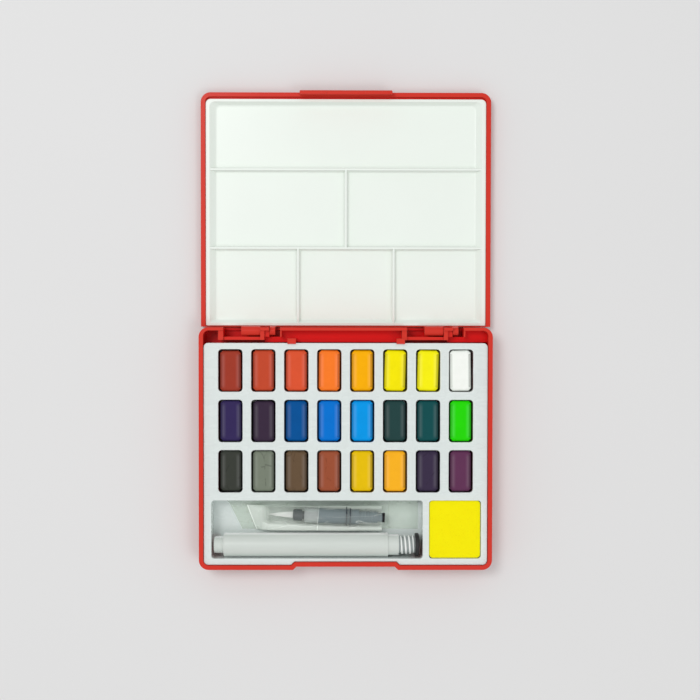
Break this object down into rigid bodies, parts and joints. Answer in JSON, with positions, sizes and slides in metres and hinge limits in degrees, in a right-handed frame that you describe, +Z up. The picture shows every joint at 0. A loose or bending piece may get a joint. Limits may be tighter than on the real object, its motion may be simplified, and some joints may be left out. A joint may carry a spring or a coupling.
{
  "type": "watercolour paint set",
  "caption": "Hinged pocket watercolour box with paint tablets in a white tray, a lift-out mixing palette in the lid, a sponge, and a water brush in two pieces.",
  "frame": {"origin": "centre of the base's underside", "axes": "+Y from the base towards the open lid, +Z up, +X to the right when seen from the front edge"},
  "size_m": [0.165, 0.2708, 0.016],
  "materials": {
    "red_shell": "moulded plastic, satin gloss",
    "tray_white": "moulded plastic, satin",
    "palette_white": "moulded plastic, satin",
    "sponge_yellow": "fine open-cell sponge",
    "frosted_tank": "frosted translucent plastic",
    "black_plastic": "moulded plastic, gloss",
    "bristle": "white nylon bristles",
    "dark_collar": "moulded plastic, gloss",
    "clear_section": "clear plastic, gloss",
    "core_grey": "moulded plastic, satin",
    "tinted_body": "grey tinted clear plastic, gloss",
    "sachet_film": "thin clear film, crinkled",
    "paint_brick_red": "pressed watercolour, satin",
    "paint_vermilion_brown": "pressed watercolour, satin",
    "paint_scarlet": "pressed watercolour, satin",
    "paint_orange": "pressed watercolour, satin",
    "paint_golden_orange": "pressed watercolour, satin",
    "paint_yellow": "pressed watercolour, satin",
    "paint_lemon_yellow": "pressed watercolour, satin",
    "paint_white": "pressed watercolour, satin",
    "paint_violet_blue": "pressed watercolour, satin",
    "paint_dark_plum": "pressed watercolour, satin",
    "paint_dark_blue": "pressed watercolour, satin",
    "paint_blue": "pressed watercolour, satin",
    "paint_cyan_blue": "pressed watercolour, satin",
    "paint_green_grey": "pressed watercolour, satin",
    "paint_dark_teal": "pressed watercolour, satin",
    "paint_bright_green": "pressed watercolour, satin",
    "paint_charcoal": "pressed watercolour, satin",
    "paint_grey": "pressed watercolour, satin",
    "paint_brown": "pressed watercolour, satin",
    "paint_red_brown": "pressed watercolour, satin",
    "paint_ochre_yellow": "pressed watercolour, satin",
    "paint_warm_orange": "pressed watercolour, satin",
    "paint_dark_violet": "pressed watercolour, satin",
    "paint_purple": "pressed watercolour, satin"
  },
  "bodies": {
    "base": {"base_shell": "red_shell", "pan_tray": "tray_white", "tablet_brick_red": "paint_brick_red", "tablet_vermilion_brown": "paint_vermilion_brown", "tablet_scarlet": "paint_scarlet", "tablet_orange": "paint_orange", "tablet_golden_orange": "paint_golden_orange", "tablet_yellow": "paint_yellow", "tablet_lemon_yellow": "paint_lemon_yellow", "tablet_white": "paint_white", "tablet_violet_blue": "paint_violet_blue", "tablet_dark_plum": "paint_dark_plum", "tablet_dark_blue": "paint_dark_blue", "tablet_blue": "paint_blue", "tablet_cyan_blue": "paint_cyan_blue", "tablet_green_grey": "paint_green_grey", "tablet_dark_teal": "paint_dark_teal", "tablet_bright_green": "paint_bright_green", "tablet_charcoal": "paint_charcoal", "tablet_grey": "paint_grey", "tablet_brown": "paint_brown", "tablet_red_brown": "paint_red_brown", "tablet_ochre_yellow": "paint_ochre_yellow", "tablet_warm_orange": "paint_warm_orange", "tablet_dark_violet": "paint_dark_violet", "tablet_purple": "paint_purple"},
    "lid": {"lid_shell": "red_shell"},
    "palette": {"mixing_palette": "palette_white"},
    "tank": {"water_tank": "frosted_tank", "tank_plug": "black_plastic"},
    "brush_head": {"brush_tip": "bristle", "brush_collar": "dark_collar", "brush_front_section": "clear_section", "feed_core": "core_grey", "brush_body": "tinted_body", "brush_end_seal": "black_plastic", "brush_sachet": "sachet_film"},
    "sponge": {"sponge": "sponge_yellow"}
  },
  "joints": [
    {"name": "lid_hinge", "type": "hinge", "parent": "base", "child": "lid", "pos_m": [0, 0.06618, 0.01125], "axis": [-1, 0, 0], "range_deg": [-180, 0]},
    {"name": "palette_lift", "type": "slide", "parent": "lid", "child": "palette", "axis": [0, 0, 1], "range_m": [0, 0.02]},
    {"name": "tank_lift", "type": "slide", "parent": "base", "child": "tank", "axis": [0, 0, 1], "range_m": [0, 0.03]},
    {"name": "brush_lift", "type": "slide", "parent": "base", "child": "brush_head", "axis": [0, 0, 1], "range_m": [0, 0.03]},
    {"name": "sponge_lift", "type": "slide", "parent": "base", "child": "sponge", "axis": [0, 0, 1], "range_m": [0, 0.03]}
  ]
}
